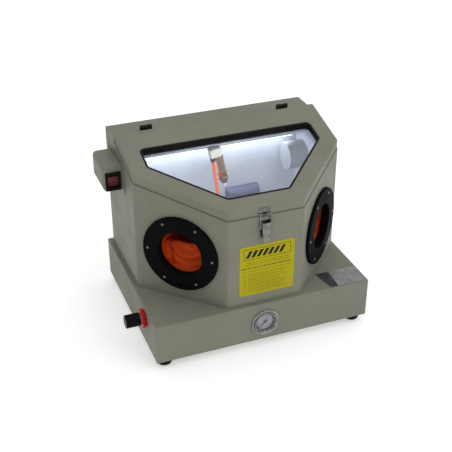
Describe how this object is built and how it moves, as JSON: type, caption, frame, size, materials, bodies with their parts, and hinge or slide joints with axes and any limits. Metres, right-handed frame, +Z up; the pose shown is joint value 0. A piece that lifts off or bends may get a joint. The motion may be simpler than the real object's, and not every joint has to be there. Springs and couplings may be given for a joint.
{
  "type": "benchtop sandblast cabinet",
  "caption": "Bench-top blast cabinet: hinged sloping window lid with draw latch, angled glove ports, hanging blast gun, gauge, regulator knob and rocker switch.",
  "frame": {"origin": "centre of the base's footprint, on the surface that the rubber feet stand on", "axes": "+Z up; the operator stands at -Y and faces +Y, with +X to the operator's right"},
  "size_m": [0.706, 0.486, 0.5192],
  "materials": {
    "paint": "smooth warm grey enamel",
    "inner_steel": "dusty light coating",
    "foot_rubber": "matt",
    "bright_steel": "bright zinc",
    "black_metal": "satin black",
    "black_plastic": "moulded, fine grain",
    "glove_rubber": "matt moulded rubber",
    "chrome": "polished",
    "dial_face": "printed dial",
    "needle_black": "satin",
    "clear_glass": "clear",
    "red_plastic": "gloss",
    "zinc_block": "die cast",
    "white_plastic": "gloss",
    "brass": "machined",
    "ceramic": "fired ceramic",
    "orange_hose": "smooth",
    "black_hose": "smooth",
    "label_yellow": "printed film",
    "plate_silver": "satin printed"
  },
  "bodies": {
    "cabinet": {"base_housing": "paint", "bottom_plate": "paint", "rubber_feet": "foot_rubber", "media_hopper": "inner_steel", "cabinet_shell": "paint", "work_grate": "inner_steel", "vent_baffle": "paint", "exhaust_spigot": "inner_steel", "filter_can": "inner_steel", "lid_seal": "foot_rubber", "hinge_body_leaves": "black_metal", "hinge_pins": "bright_steel", "body_screws": "bright_steel", "latch_base": "bright_steel", "glove_ring_left": "black_plastic", "glove_ring_right": "black_plastic", "glove_left": "glove_rubber", "glove_right": "glove_rubber", "port_backing_rings": "inner_steel", "port_screws": "bright_steel", "gauge_case": "black_plastic", "gauge_bezel": "chrome", "gauge_dial": "dial_face", "gauge_lens": "clear_glass", "regulator_body": "zinc_block", "regulator_lock_ring": "red_plastic", "air_inlet": "brass", "supply_hose": "black_hose", "gun_air_hose": "black_hose", "gauge_hose": "black_hose", "gun_head": "white_plastic", "gun_barrel": "chrome", "gun_nut": "brass", "nozzle_cone": "black_metal", "nozzle_tip": "ceramic", "media_fitting": "black_plastic", "media_hose": "orange_hose", "pickup_tube": "inner_steel", "gun_bracket": "inner_steel", "lamp_housing": "inner_steel", "lamp_lens": "white_plastic", "switch_plate": "paint", "switch_box": "paint", "switch_bezel": "black_plastic", "power_gland": "black_plastic", "label_plate": "label_yellow", "name_plate": "plate_silver"},
    "lid": {"lid_tray": "paint", "window_gasket": "foot_rubber", "window_glass": "clear_glass", "glass_retainer": "paint", "retainer_studs": "bright_steel", "hinge_lid_leaves": "black_metal", "lid_rivets": "bright_steel", "latch_keeper": "bright_steel"},
    "latch_lever": {"latch_lever": "bright_steel"},
    "latch_loop": {"latch_loop": "bright_steel"},
    "gauge_needle": {"gauge_needle": "needle_black"},
    "regulator_knob": {"regulator_knob": "black_plastic"},
    "switch_rocker": {"switch_rocker": "red_plastic"}
  },
  "joints": [
    {"name": "lid_hinge", "type": "hinge", "parent": "cabinet", "child": "lid", "pos_m": [0, 0.1305, 0.514], "axis": [-1, 0, 0], "range_deg": [0, 100]},
    {"name": "latch_lever_pivot", "type": "hinge", "parent": "cabinet", "child": "latch_lever", "pos_m": [-0.004, -0.2265, 0.372], "axis": [-1, 0, 0], "range_deg": [0, 120]},
    {"name": "latch_loop_pivot", "type": "hinge", "parent": "latch_lever", "child": "latch_loop", "pos_m": [-0.004, -0.2265, 0.36], "axis": [-1, 0, 0], "range_deg": [-150, 0]},
    {"name": "gauge_needle_turn", "type": "hinge", "parent": "cabinet", "child": "gauge_needle", "pos_m": [-0.002, -0.234, 0.0755], "axis": [0, 1, 0], "range_deg": [0, 270], "stiffness_Nm_per_rad": 0.001, "springref_deg": -17.19},
    {"name": "regulator_knob_turn", "type": "hinge", "parent": "cabinet", "child": "regulator_knob", "pos_m": [-0.333, -0.1325, 0.1], "axis": [-1, 0, 0], "range_deg": [0, 1080]},
    {"name": "switch_rocker_tilt", "type": "hinge", "parent": "cabinet", "child": "switch_rocker", "pos_m": [-0.3135, 0.0615, 0.41], "axis": [-1, 0, 0], "range_deg": [0, 20]}
  ],
  "couplings": [
    {"joint": "latch_loop_pivot", "follows": "latch_lever_pivot", "ratio": -1.25}
  ]
}
